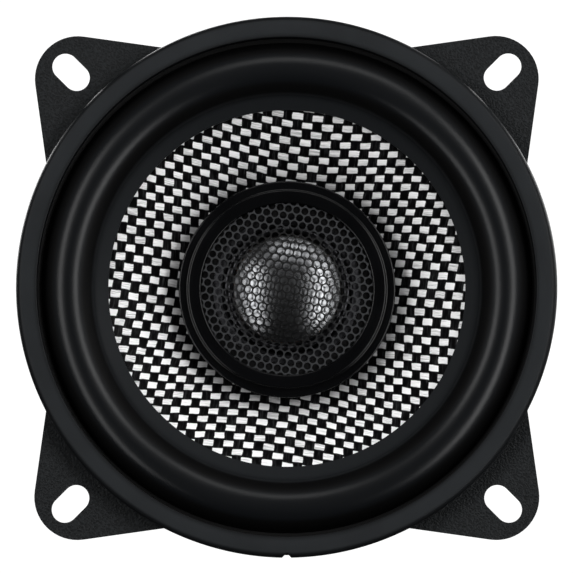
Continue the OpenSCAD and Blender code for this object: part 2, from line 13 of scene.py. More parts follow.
import bmesh
import bpy
import numpy as np
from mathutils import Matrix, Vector


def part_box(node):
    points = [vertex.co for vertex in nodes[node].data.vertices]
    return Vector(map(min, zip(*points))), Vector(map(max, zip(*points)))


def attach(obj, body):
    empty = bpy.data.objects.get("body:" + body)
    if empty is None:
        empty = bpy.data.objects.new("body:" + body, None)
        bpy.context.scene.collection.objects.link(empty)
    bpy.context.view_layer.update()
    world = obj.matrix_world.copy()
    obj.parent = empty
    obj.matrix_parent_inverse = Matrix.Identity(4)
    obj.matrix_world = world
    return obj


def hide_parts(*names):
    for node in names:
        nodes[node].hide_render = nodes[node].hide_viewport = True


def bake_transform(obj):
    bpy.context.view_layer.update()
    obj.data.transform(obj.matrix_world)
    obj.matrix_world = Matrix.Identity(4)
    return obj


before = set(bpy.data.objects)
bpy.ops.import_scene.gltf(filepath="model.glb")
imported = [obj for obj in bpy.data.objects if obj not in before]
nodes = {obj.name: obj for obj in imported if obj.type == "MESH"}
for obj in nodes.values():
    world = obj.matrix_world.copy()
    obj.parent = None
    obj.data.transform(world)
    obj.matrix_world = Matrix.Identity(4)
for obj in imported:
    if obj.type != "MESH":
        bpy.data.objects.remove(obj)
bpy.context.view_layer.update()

# %% [markdown]
# Everything is in metres. The speaker's axis is level along Y, its face looks towards -Y, and
# the rear face of its flange lies at zero. A handful of radii and depths come from the CAD
# boxes, so the pieces below move with the model if it changes.

# %% Sizes read from the CAD boxes
MM = 0.001


def radius(node):
    """Half the width of a node that is turned around the speaker's axis."""
    low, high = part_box(node)
    return (high.x - low.x) / 2


def front(node):
    """The depth of a node's foremost point; deeper is larger."""
    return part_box(node)[0].y


def back(node):
    """The depth of a node's rearmost point."""
    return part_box(node)[1].y


def add_object(name, data):
    """Puts a new object in the scene."""
    made = bpy.data.objects.new(name, data)
    bpy.context.scene.collection.objects.link(made)
    return made


flange_r = radius("trim_ring")
cone_r = radius("cone")
grille_r = radius("tweeter_grille")
dome_r = radius("dome")
print("flange radius", round(flange_r / MM, 2), "mm, cone radius", round(cone_r / MM, 2), "mm")

# %% [markdown]
# ## Camera
#
# The portrait of a speaker is taken square on, from far away with a long lens, so that the
# cone's depth doesn't shrink its neck. The camera stands a little below the axis and a hair to
# the right of it, aims at the middle of the face and is as wide as the flange and its ears.

# %% Camera
CAMERA_FAR = 1.35
CAMERA_AZIMUTH, CAMERA_ELEVATION = 0.5, -2.5
PICTURE_WIDTH = 108.9 * MM
SENSOR = 36.0


def direction(azimuth, elevation):
    """Where an azimuth and an elevation in degrees point, from the speaker's face."""
    a, e = math.radians(azimuth), math.radians(elevation)
    return Vector((math.sin(a) * math.cos(e), -math.cos(a) * math.cos(e), math.sin(e)))


face = Vector((0, front("trim_ring"), 0))
away = direction(CAMERA_AZIMUTH, CAMERA_ELEVATION)
camera = add_object("camera", bpy.data.cameras.new("camera"))
camera.data.sensor_width = SENSOR
camera.data.lens = SENSOR * CAMERA_FAR / PICTURE_WIDTH
camera.data.clip_start = 0.01
camera.location = face + CAMERA_FAR * away
camera.rotation_euler = (-away).to_track_quat("-Z", "Y").to_euler()
bpy.context.scene.camera = camera
print("lens", round(camera.data.lens), "mm at", CAMERA_FAR, "m")

# %% [markdown]
# ## Node trees from Python expressions
#
# A material that is drawn node by node soon needs hundreds of lines. Here a small class wraps
# a socket, and its operators add the Math nodes, so a rule reads like arithmetic. The same
# class serves shader trees and geometry trees, because both have the same Math node, so the
# cone's weave is written once and used twice: for its relief and for its colours.

# %% The socket class
class Wire:
    """A socket that arithmetic works on, in a shader tree or a geometry tree."""

    def __init__(self, maker, socket):
        self.maker, self.socket = maker, socket

    def maths(self, operation, *others):
        values = dict(enumerate((self, *others)))
        return self.maker.node("ShaderNodeMath", {"operation": operation}, values)[0]

    __add__ = __radd__ = partialmethod(maths, "ADD")
    __mul__ = __rmul__ = partialmethod(maths, "MULTIPLY")
    __sub__ = partialmethod(maths, "SUBTRACT")
    __truediv__ = partialmethod(maths, "DIVIDE")
    __pow__ = partialmethod(maths, "POWER")
    __gt__ = partialmethod(maths, "GREATER_THAN")
    __lt__ = partialmethod(maths, "LESS_THAN")
    root = partialmethod(maths, "SQRT")
    cos = partialmethod(maths, "COSINE")
    sin = partialmethod(maths, "SINE")
    round = partialmethod(maths, "ROUND")
    floor = partialmethod(maths, "FLOOR")
    size = partialmethod(maths, "ABSOLUTE")
    lowest = partialmethod(maths, "MINIMUM")
    highest = partialmethod(maths, "MAXIMUM")

    def __neg__(self):
        return self * -1.0

    def __rsub__(self, other):
        return (-self) + other

    def __rtruediv__(self, other):
        return self ** -1.0 * other

    def rise(self, start, end):
        """0 before start and 1 after end, with a smooth step between them."""
        settings = {"interpolation_type": "SMOOTHSTEP"}
        sockets = {"Value": self, "From Min": start, "From Max": end}
        return self.maker.node("ShaderNodeMapRange", settings, sockets)["Result"]


class Made:
    """A node whose outputs are taken by name or number as wires."""

    def __init__(self, maker, node):
        self.maker, self.node = maker, node

    def __getitem__(self, key):
        return Wire(self.maker, self.node.outputs[key])


class Maker:
    """Adds nodes to one tree."""

    def __init__(self, tree):
        self.tree = tree

    def node(self, kind, settings=None, sockets=None):
        """Adds a node: its settings first, then the values or links of its sockets."""
        made = self.tree.nodes.new(kind)
        for name, value in (settings or {}).items():
            setattr(made, name, value)
        for key, value in (sockets or {}).items():
            self.plug(made.inputs[key], value)
        return Made(self, made)

    def plug(self, socket, value):
        """Sets a socket's value, or links one wire or a list of wires to it."""
        if isinstance(value, Wire):
            self.tree.links.new(value.socket, socket)
        elif isinstance(value, (list, tuple)) and isinstance(value[0], Wire):
            for wire in value:
                self.tree.links.new(wire.socket, socket)
        elif isinstance(value, tuple) and socket.type == "RGBA" and len(value) == 3:
            socket.default_value = (*value, 1)
        else:
            socket.default_value = value

    def split(self, vector):
        made = self.node("ShaderNodeSeparateXYZ", None, {0: vector})
        return made[0], made[1], made[2]

    def join(self, x, y, z):
        return self.node("ShaderNodeCombineXYZ", None, {0: x, 1: y, 2: z})[0]

    def off_axis(self, place):
        """The distance of a place from the speaker's axis."""
        x, _, z = self.split(place)
        return (x * x + z * z).root()

    def mix(self, share, first, second):
        """A colour between two colours."""
        sockets = {"Factor": share, 6: first, 7: second}
        return self.node("ShaderNodeMix", {"data_type": "RGBA"}, sockets)[2]

    def noise(self, place, scale, detail=2.0, roughness=0.5):
        sockets = {"Vector": place, "Scale": scale, "Detail": detail, "Roughness": roughness}
        return self.node("ShaderNodeTexNoise", None, sockets)["Fac"]


# %% [markdown]
# ## Light
#
# Black plastic shows its form only in what it reflects. Two tall soft boxes stand beside the
# camera, 34 degrees to each side, and a wide one hangs over it. Their narrow reflections draw
# the roll of the surround and the bright sides of the metal dome, and all that leans further
# away stays black, because the room is dim. Behind the speaker there is plain white, and
# three wide lamps show its rear and its side.

# %% Room and soft boxes
def set_up_world(white, fill):
    """A white backdrop for the eye that lights the object only as strongly as fill."""
    world = bpy.data.worlds.new("white_room")
    world.use_nodes = True
    world.node_tree.nodes.clear()
    maker = Maker(world.node_tree)
    seen, given = (maker.node("ShaderNodeBackground", None,
                              {"Color": (1.0, 1.0, 1.0), "Strength": strength})[0]
                   for strength in (white, fill))
    eye = maker.node("ShaderNodeLightPath")["Is Camera Ray"]
    both = maker.node("ShaderNodeMixShader", None, {0: eye, 1: given, 2: seen})[0]
    maker.node("ShaderNodeOutputWorld", None, {0: both})
    bpy.context.scene.world = world


def soft_box(name, azimuth, elevation, far, width, height, watts):
    """A rectangular lamp that aims at the speaker."""
    place = far * direction(azimuth, elevation)
    lamp = bpy.data.lights.new(name, "AREA")
    lamp.shape = "RECTANGLE"
    lamp.size, lamp.size_y = width, height
    lamp.energy = watts
    light = add_object(name, lamp)
    light.location = place
    light.rotation_euler = (-place).to_track_quat("-Z", "Y").to_euler()


# name, azimuth, elevation, distance, width, height, watts
SOFT_BOXES = (
    ("light_left", -34, -4, 1.0, 0.26, 1.1, 8.4),
    ("light_right", 34, -1, 1.0, 0.26, 1.1, 9.9),
    ("light_top", 8, 42, 1.0, 0.7, 0.25, 2.8),
    ("light_rear_left", 215, 25, 1.2, 1.2, 0.9, 32.0),
    ("light_rear_right", 130, 25, 1.2, 0.8, 0.9, 20.0),
    ("light_side", 98, 15, 1.4, 0.9, 0.5, 9.0))

set_up_world(white=1.1, fill=0.05)
for box in SOFT_BOXES:
    soft_box(*box)
print(len(SOFT_BOXES), "soft boxes")
bpy.context.scene.view_settings.view_transform = "Standard"
bpy.context.scene.view_settings.look = "None"

# %% [markdown]
# ## Finishes
#
# Every finish starts as a Principled shader. What is the same all over the surface is a plain
# number on the shader; only what varies is a wire. `finish` sets up the tree and hands the
# maker and the object's own coordinates to a function that returns the wires.

# %% Starting a finish
finishes = {}


def finish(name, build, **constants):
    """Makes a material; build(maker, place) returns what varies, as a dictionary."""
    material = bpy.data.materials.new(name)
    material.use_nodes = True
    tree = material.node_tree
    shader = tree.nodes["Principled BSDF"]
    for key, value in constants.items():
        socket = shader.inputs[key.replace("_", " ")]
        socket.default_value = (*value, 1) if isinstance(value, tuple) else value
    maker = Maker(tree)
    place = maker.node("ShaderNodeTexCoord")["Object"]
    for key, value in build(maker, place).items():
        if key == "Height":
            height, strength, depth = value
            sockets = {"Height": height, "Strength": strength, "Distance": depth}
            value, key = maker.node("ShaderNodeBump", None, sockets)["Normal"], "Normal"
        maker.plug(shader.inputs[key], value)
    finishes[name] = material
    return material


def speckled(name, colour, spread, scale, rough, rough_spread, grain, depth, **constants):
    """A finish with a soft mottle of colour and gloss, and a fine even grain."""
    dark = tuple(c * (1 - spread) for c in colour)
    pale = tuple(min(c * (1 + spread), 1) for c in colour)

    def build(maker, place):
        mottle = maker.noise(place, scale, 3.0)
        fine = maker.noise(place, grain, 2.0)
        return {
            "Base Color": maker.mix(mottle.rise(0.3, 0.7), dark, pale),
            "Roughness": rough + (mottle - 0.5) * rough_spread,
            "Height": (fine, 0.5, depth)}

    finish(name, build, **constants)


# %% [markdown]
# The pressed steel basket is powder coated with a black crinkle paint: the powder wrinkles as
# it cures, so the surface is a mass of tiny rounded ridges. A Voronoi pattern bent by noise
# gives the ridges, and two scales of noise vary their height and gloss.

# %% Crinkle paint
def crinkle(maker, place):
    bent = maker.node("ShaderNodeTexNoise", None, {"Vector": place, "Scale": 1400.0})["Color"]
    shifted = maker.node("ShaderNodeVectorMath", {"operation": "MULTIPLY_ADD"},
                         {0: bent, 1: (0.0007,) * 3, 2: place})[0]
    cells = maker.node("ShaderNodeTexVoronoi", {"feature": "SMOOTH_F1"},
                       {"Vector": shifted, "Scale": 2600.0})["Distance"]
    broad = maker.noise(place, 220.0, 3.0)
    ridge = cells.rise(0.1, 0.75)
    return {
        "Base Color": maker.mix(ridge * 0.7 + broad * 0.3, (0.003, 0.0034, 0.0037),
                                (0.0135, 0.0152, 0.0165)),
        "Roughness": 0.5 + broad * 0.2 - ridge * 0.08,
        "Height": (ridge + broad * 0.4, 0.7, 0.00012)}


finish("crinkle_paint", crinkle, Specular_IOR_Level=0.12)

# %% [markdown]
# The trim ring is moulded in grey-black plastic with a satin face, and the tweeter in a glossier
# black. The rubber surround is smooth, with the soft sheen of butyl rubber. The ring and the
# rubber also carry painted light and shade by the distance to the axis. The ring is painted
# blacker at both its edges and the rubber in the folds beside its roll, which is painted shade.
# The rubber's inner lip is painted paler, which is painted light.

# %% Trim ring plastic
TRIM_WIDTH = 4.0 * MM
trim_in = flange_r - TRIM_WIDTH


def trim_plastic(maker, place):
    """Satin on the face of the ring, and painted darker on the radii at both its edges, a painted
    shade.
    """
    out = maker.off_axis(place)
    # painted shade: the ring's inner edge and its rounded outer edge are painted near black
    inside = 1 - out.rise(trim_in, trim_in + 1.0 * MM)
    outside = out.rise(flange_r - 1.2 * MM, flange_r - 0.5 * MM)
    mottle = maker.noise(place, 90.0, 3.0)
    face = maker.mix(mottle.rise(0.3, 0.7), (0.0145, 0.016, 0.0175), (0.0172, 0.0192, 0.021))
    return {
        "Base Color": maker.mix((inside + outside).lowest(1.0) * 0.62, face,
                                (0.001, 0.001, 0.0012)),
        "Roughness": 0.45 + (mottle - 0.5) * 0.08,
        "Height": (maker.noise(place, 3500.0), 0.5, 0.00003)}


finish("trim_plastic", trim_plastic, Specular_IOR_Level=0.08)
speckled("gloss_plastic", (0.0016, 0.0017, 0.002), 0.15, 120.0, 0.17, 0.06, 2500.0, 0.000008,
         Specular_IOR_Level=0.16)
speckled("matt_plastic", (0.0015, 0.0015, 0.0017), 0.15, 160.0, 0.5, 0.12, 4000.0, 0.00003,
         Specular_IOR_Level=0.1)

# %% Rubber
ROLL_OUT, ROLL_IN = 46.2 * MM, 37.4 * MM


def rubber(maker, place):
    """Near black in the two folds beside the roll, a painted shade, and paler and rougher on the
    inner lip, the paleness a painted light.
    """
    out = maker.off_axis(place)
    lip = 1 - out.rise(ROLL_IN - 0.6 * MM, ROLL_IN)
    # painted shade: the folds beside the roll are painted near black by the distance to the axis
    inner_fold = out.rise(ROLL_IN - 0.3 * MM, ROLL_IN)
    inner_fold = inner_fold * (1 - out.rise(ROLL_IN + 1.2 * MM, ROLL_IN + 2.2 * MM))
    fold = inner_fold + out.rise(ROLL_OUT - 2.2 * MM, ROLL_OUT - 1.2 * MM)
    # painted light: the inner lip is painted paler than the rest of the rubber
    painted_lit_lip_colour = maker.mix(lip, (0.004, 0.0046, 0.0054), (0.0115, 0.0128, 0.0142))
    mottle = maker.noise(place, 70.0, 3.0)
    return {
        "Base Color": maker.mix(fold.lowest(1.0), painted_lit_lip_colour, (0.0002, 0.0002, 0.0003)),
        "Roughness": 0.31 + lip * 0.15 + fold * 0.3 + (mottle - 0.5) * 0.06,
        "Height": (maker.noise(place, 1800.0), 0.5, 0.00002)}


finish("surround_rubber", rubber, Specular_IOR_Level=0.14)

# %% Board, sleeves and the dome's edge
speckled("dome_edge", (0.022, 0.022, 0.024), 0.2, 500.0, 0.3, 0.06, 3000.0, 0.000004,
         Metallic=1.0)
speckled("board_fibre", (0.018, 0.014, 0.011), 0.35, 700.0, 0.5, 0.15, 2200.0, 0.00003)
speckled("lead_insulation", (0.02, 0.02, 0.021), 0.2, 300.0, 0.42, 0.1, 1500.0, 0.00002)
speckled("capacitor_sleeve", (0.012, 0.016, 0.045), 0.15, 150.0, 0.28, 0.08, 900.0, 0.00002)
print(len(finishes), "finishes so far")


# %% [markdown]
# Metals: the plates of the motor are zinc plated and turned, so they carry fine circles around
# the speaker's axis. The circles come from noise that is read on the distance from the axis,
# stretched so far that it is even around the turn.

# %% Turned and plated metals
def turned_metal(colour, rough, rings, depth):
    """Fine circles around the axis under a broad smear; rings is how many in a metre."""
    def build(maker, place):
        _, y, _ = maker.split(place)
        out = maker.off_axis(place)
        lines = maker.noise(maker.join(out * rings, y * rings, 0.0), 1.0, 3.0)
        smear = maker.noise(place, 45.0, 5.0, 0.65)
        dull = tuple(c * 0.86 for c in colour)
        return {
            "Base Color": maker.mix(smear.rise(0.25, 0.75), dull, colour),
            "Roughness": rough + lines * 0.18 + (smear - 0.5) * 0.06,
            "Height": (lines, 0.4, depth)}

    return build


finish("motor_steel", turned_metal((0.58, 0.59, 0.6), 0.22, 2600.0, 0.00003), Metallic=1.0)
finish("post_metal", turned_metal((0.03, 0.031, 0.034), 0.3, 1800.0, 0.00002), Metallic=0.6)
finish("dome_foil", turned_metal((0.155, 0.158, 0.164), 0.19, 1200.0, 0.000002), Metallic=1.0)

# colour, its spread, the mottle's scale, roughness, its spread, the grain's scale
SMOOTH_METALS = {
    "plated_steel": ((0.55, 0.56, 0.58), 0.18, 500.0, 0.3, 0.12, 2500.0),
    "neodymium": ((0.5, 0.5, 0.52), 0.12, 300.0, 0.25, 0.1, 2500.0),
    "gold_brass": ((0.75, 0.52, 0.2), 0.14, 300.0, 0.28, 0.12, 2500.0),
    "tinned_brass": ((0.62, 0.61, 0.58), 0.14, 300.0, 0.32, 0.12, 2500.0),
    "tinned_wire": ((0.6, 0.6, 0.6), 0.1, 400.0, 0.3, 0.1, 3000.0)}
for name, values in SMOOTH_METALS.items():
    speckled(name, *values, 0.00001, Metallic=1.0)
speckled("ferrite", (0.014, 0.014, 0.0155), 0.3, 900.0, 0.5, 0.06, 1800.0, 0.00008,
         Specular_IOR_Level=0.35)


# %% [markdown]
# The grille's steel is painted black. Its colour also carries painted shade and light by the
# distance to the axis. It is blackest over the dome, a painted shade, so that the metal behind
# the holes stands out. It turns to a dark grey towards the rim, a painted light.

# %% Grille paint
def grille_paint(maker, place):
    # painted shade over the dome and painted light towards the rim, by the distance to the axis
    rim = maker.off_axis(place).rise(dome_r, grille_r * 0.8)
    wear = maker.noise(place, 500.0)
    return {
        "Base Color": maker.mix(rim, (0.0015, 0.0016, 0.0018), (0.027, 0.028, 0.03)),
        "Roughness": 0.36 + wear * 0.2}


finish("grille_paint", grille_paint, Specular_IOR_Level=0.16)


# %% [markdown]
# The voice coil is wound in copper wire: its turns are rows of tiny round ridges along the
# axis, so the bump is a cosine of the depth. The former is a plain gold-coloured foil.

# %% Copper winding and foil former
WIRE_PITCH = 0.22 * MM


def winding(maker, place):
    _, y, _ = maker.split(place)
    turns = (y * (math.tau / WIRE_PITCH)).cos() * 0.5 + 0.5
    heat = maker.noise(place, 300.0)
    return {
        "Base Color": maker.mix(heat.rise(0.3, 0.7), (0.42, 0.17, 0.07), (0.62, 0.27, 0.11)),
        "Roughness": 0.42 - turns * 0.16,
        "Height": (turns, 0.8, 0.00008)}


finish("copper_wire", winding, Metallic=1.0)
speckled("former_foil", (0.5, 0.33, 0.12), 0.15, 200.0, 0.35, 0.1, 2500.0, 0.00002,
         Metallic=0.5)


# %% [markdown]
# ## The woven cloth
#
# The cone is pressed from a plain weave: white glass yarn runs across, black yarn runs up and
# down, and each passes over and under the other in turn, so the face is a chequer of short
# floats. Pressing the flat cloth into a cone stretches it, so the squares lean and widen with
# their direction from the middle. `cloth_place` holds that rule: it turns a place on the cone
# into counts of black columns and white rows. The cloth was also laid a few degrees askew.

# %% The rule of the weave
COLUMN = 1.953 * MM
ROW = 1.816 * MM
ASKEW = math.radians(-6.8)
STRETCH_ACROSS, STRETCH_UP = 0.1425, 0.173
COLUMN_START, ROW_START = 15.93, 1.68
# half widths, as shares of a row or a column
FLOAT_HALF, WHITE_HALF, BLACK_HALF = 0.365, 0.4088, 0.54
# how far each yarn waves up and down, how thick it is, and how much deeper the black one lies
WHITE_WAVE, WHITE_BODY = 0.5, 0.62
BLACK_WAVE, BLACK_BODY, BLACK_SINK = 0.4, 0.5, 0.08


def cloth_place(x, z):
    """Counts of columns and rows of the cloth at a place seen from the front."""
    across = x * math.cos(ASKEW) + z * math.sin(ASKEW)
    up = z * math.cos(ASKEW) - x * math.sin(ASKEW)
    square = across * across + up * up
    column = across * (1 + across * across / square * STRETCH_ACROSS) / COLUMN + COLUMN_START
    row = up * (1 + up * up / square * STRETCH_UP) / ROW + ROW_START
    return column, row


def yarns(column, row):
    """How high the white and the black yarn lie, and how far the row's middle is."""
    near_row, near_column = row.round(), column.round()
    beside_row, beside_column = row - near_row, column - near_column
    white_wave = ((column - near_row) * math.pi).cos()
    black_wave = -((row - near_column) * math.pi).cos()
    white_body = (1 - (beside_row / WHITE_HALF) ** 2).highest(0.0).root()
    black_body = (1 - (beside_column / BLACK_HALF) ** 2).highest(0.0).root()
    white = white_wave * WHITE_WAVE + white_body * WHITE_BODY
    black = black_wave * BLACK_WAVE + black_body * BLACK_BODY - BLACK_SINK
    return white, black, beside_row


print("the cloth has", round(2 * cone_r / COLUMN), "columns and", round(2 * cone_r / ROW), "rows")


# %% [markdown]
# The cloth's finish uses the same rule at every point. White shows where the white yarn lies
# higher than the black one and inside its own width. Fine streaks run along each yarn, because a
# yarn is a flat bundle of hundreds of filaments, and on the black yarn some streaks are painted
# paler, a painted sheen. No two floats are quite the same width, so noise shifts the rule a
# little. Each white float is painted darker where it dips under the black yarn, and the whole
# cloth is painted darker towards the neck: both are painted shade.

# %% The cloth's finish
LOOSE = 0.3
FLOAT_BLUR = 0.04
YARN_BLUR = 0.08
FILAMENTS, ALONG = 9.0, 0.55
NECK_SHADE, EDGE_LIGHT = 17 * MM, 30 * MM


def woven(maker, place):
    x, _, z = maker.split(place)
    out = maker.off_axis(place)
    column, row = cloth_place(x, z)
    loose = maker.node("ShaderNodeTexNoise", None, {"Vector": place, "Scale": 420.0})["Color"]
    shift_column, shift_row, _ = maker.split(loose)
    column = column + (shift_column - 0.5) * LOOSE
    row = row + (shift_row - 0.5) * LOOSE
    white, black, beside_row = yarns(column, row)
    inside = 1 - beside_row.size().rise(FLOAT_HALF - FLOAT_BLUR, FLOAT_HALF + FLOAT_BLUR)
    shows = (white - black).rise(-YARN_BLUR, YARN_BLUR) * inside
    along_white = maker.join(column * ALONG, row * FILAMENTS, 0.0)
    along_black = maker.join(column * FILAMENTS, row * ALONG, 3.7)
    white_streak = maker.noise(along_white, 1.0, 4.0, 0.65)
    black_streak = maker.noise(along_black, 1.0, 4.0, 0.65)
    blotch = maker.noise(maker.join(column.round(), row.round(), 0.0), 0.9, 1.0)
    tone = (white_streak * 0.6 + blotch * 0.4).rise(0.34, 0.54) * 0.6
    # painted shade: a white float is painted darker towards its ends, where it dips under the
    # black yarn
    tone = tone + (white - black).rise(0.0, 0.6) * 0.4
    # painted shade: the cloth is painted darker towards the neck, around the tweeter
    tone = tone * (0.34 + out.rise(NECK_SHADE, EDGE_LIGHT) * 0.66)
    white_colour = maker.mix(tone, (0.1, 0.1, 0.105), (1.0, 1.0, 1.0))
    # painted sheen: the black yarn is painted paler along some of its streaks
    glint = black_streak.rise(0.5, 0.75)
    black_colour = maker.mix(glint, (0.0008, 0.0008, 0.001), (0.04, 0.041, 0.043))
    return {
        "Base Color": maker.mix(shows, black_colour, white_colour),
        "Roughness": 0.34 + shows * 0.08,
        "Height": (white_streak * shows + black_streak * (1 - shows) * 0.5, 0.35, 0.00006)}


finish("cone_weave", woven, Specular_IOR_Level=0.12)


# %% [markdown]
# ## Making pieces with Geometry Nodes
#
# `grow` builds a geometry tree, sets its named sizes on a modifier, evaluates it once, and
# keeps the result as an ordinary mesh. Every tree ends by making its instances real and
# setting its material. `stand_in` then hides the CAD node that the piece replaces.

# %% Growing a mesh from a tree
def settle(piece):
    """Turns a piece and its live modifiers into a plain mesh."""
    bpy.context.view_layer.update()
    view = bpy.context.evaluated_depsgraph_get()
    mesh = bpy.data.meshes.new_from_object(piece.evaluated_get(view), depsgraph=view)
    piece.modifiers.clear()
    piece.data = mesh
    return mesh


def stand_in(piece, node, body="frame"):
    """Hides a CAD node behind the piece and lets the piece ride on the node's body."""
    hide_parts(node)
    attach(piece, body)


def grow(name, build, material, **sizes):
    """Runs build(maker, sizes as wires) once in Geometry Nodes and returns a plain mesh."""
    tree = bpy.data.node_groups.new(name + "_rule", "GeometryNodeTree")
    tree.interface.new_socket("Geometry", in_out="OUTPUT", socket_type="NodeSocketGeometry")
    sockets = {}
    for label, value in sizes.items():
        kind = "NodeSocketInt" if isinstance(value, int) else "NodeSocketFloat"
        sockets[label] = tree.interface.new_socket(label, in_out="INPUT", socket_type=kind)
    maker = Maker(tree)
    given = maker.node("NodeGroupInput")
    shape = build(maker, {label: given[label] for label in sizes})
    real = maker.node("GeometryNodeRealizeInstances", None, {0: shape})[0]
    dressed = maker.node("GeometryNodeSetMaterial", None, {0: real, "Material": material})[0]
    maker.node("NodeGroupOutput", None, {0: dressed})
    piece = add_object(name, bpy.data.meshes.new(name))
    modifier = piece.modifiers.new("rule", "NODES")
    modifier.node_group = tree
    for label, value in sizes.items():
        modifier[sockets[label].identifier] = value
    mesh = settle(piece)
    mesh.name = name
    print(name, len(mesh.polygons), "faces")
    return piece


def polar_grid(maker, around, rows):
    """A sheet, with the angle that runs once around it and the share from 0 to 1 across."""
    sockets = {"Size X": 1.0, "Size Y": 1.0, "Vertices X": around + 1, "Vertices Y": rows}
    sheet = maker.node("GeometryNodeMeshGrid", None, sockets)[0]
    x, y, _ = maker.split(maker.node("GeometryNodeInputPosition")[0])
    return sheet, (x + 0.5) * math.tau, y + 0.5


def weld(maker, shape, distance):
    """Joins points that lie together."""
    return maker.node("GeometryNodeMergeByDistance", None, {0: shape, "Distance": distance})[0]


def move(maker, shape, position):
    """Sets the place of every point."""
    return maker.node("GeometryNodeSetPosition", None, {0: shape, "Position": position})[0]


def smooth(maker, shape):
    return maker.node("GeometryNodeSetShadeSmooth", None, {0: shape})[0]


# %% [markdown]
# ## The woven cone
#
# The cone is the piece that everyone sees, and it follows a rule: a funnel with the weave
# standing on it. A fine sheet is rolled into the funnel's front and each point is lifted along
# the surface by the higher of the two yarns. A coarse sheet closes it behind, down to the
# collar that is glued to the coil's former, and the two are welded along their rims.

# %% Woven cone
CONE_WALL = 0.7 * MM
COLLAR_WALL = 0.7 * MM
COLLAR_H = 2.0 * MM
RELIEF = 0.2 * MM

cone_front, cone_back = front("cone"), back("cone")
neck_r = radius("former") + 0.1 * MM
neck_y = cone_back - COLLAR_H
slope = (neck_y - cone_front) / (cone_r - neck_r)
lean = math.atan(slope)
print("cone slopes", round(math.degrees(lean), 1), "degrees")


def cone_rule(maker, size):
    """A woven front sheet and a plain back sheet, joined to one closed funnel."""
    sheet, angle, across = polar_grid(maker, size["around"], size["rows"])
    out = size["neck"] + (size["edge"] - size["neck"]) * across
    x, z = out * angle.cos(), out * angle.sin()
    white, black, _ = yarns(*cloth_place(x, z))
    fade = out.rise(size["neck"], size["neck"] + 0.6 * MM)
    fade = fade * (1 - out.rise(size["edge"] - 0.5 * MM, size["edge"] - 0.1 * MM))
    lift = (white.highest(black) - 1.0) * size["relief"] * fade
    depth = cone_front + (size["edge"] - out) * slope
    inward = lift * math.sin(lean)
    place = maker.join(x - angle.cos() * inward, depth - lift * math.cos(lean),
                       z - angle.sin() * inward)
    front_sheet = move(maker, sheet, place)

    behind, angle, across = polar_grid(maker, size["around"], 6)
    step = (across * 5).round()
    thick = CONE_WALL / math.cos(lean)
    foot = neck_r + COLLAR_WALL

    def choose(values):
        """The value for each of the six rows of the back."""
        total = 0.0
        for k, value in enumerate(values):
            total = total + (1 - (step - k).size().lowest(1.0)) * value
        return total

    foot_y = cone_front + (cone_r - foot) * slope + thick
    out = choose([cone_r, cone_r, foot, foot, neck_r, neck_r])
    depth = choose([cone_front, cone_front + thick, foot_y, cone_back, cone_back, neck_y])
    back_sheet = move(maker, behind, maker.join(out * angle.cos(), depth, out * angle.sin()))
    both = maker.node("GeometryNodeJoinGeometry", None, {0: [front_sheet, back_sheet]})[0]
    outward = maker.node("GeometryNodeFlipFaces", None, {0: both})[0]
    return smooth(maker, weld(maker, outward, 0.004 * MM))


cone = grow("woven_cone", cone_rule, finishes["cone_weave"], around=720, rows=112,
            neck=neck_r, edge=cone_r, relief=RELIEF)
stand_in(cone, "cone", "cone")


# %% [markdown]
# ## The tweeter's grille
#
# A perforated steel disc covers the dome. Its holes stand in the closest packing there is, a
# hexagonal lattice, and its middle is pressed forward. One cell, a hexagon with a round hole,
# is repeated on the lattice and the cells are welded to one sheet. Cells beyond the rim go, the
# last ones are trimmed to the circle, and the sheet is raised in the middle. Solidify then
# gives it the thickness of the steel.

# %% Perforated grille
HOLE_PITCH = 1.6 * MM
HOLE_R = 0.69 * MM
LATTICE_TURN = math.radians(-10)
GRILLE_WALL = 0.5 * MM
RAISED_R = 11.4 * MM
RAISED_H = 2.5 * MM
RAISED_BALL = (RAISED_R ** 2 + RAISED_H ** 2) / (2 * RAISED_H)
RAISED_FOLD = 0.35 * MM
HOLE_SIDES = 18

grille_low = back("tweeter_grille")


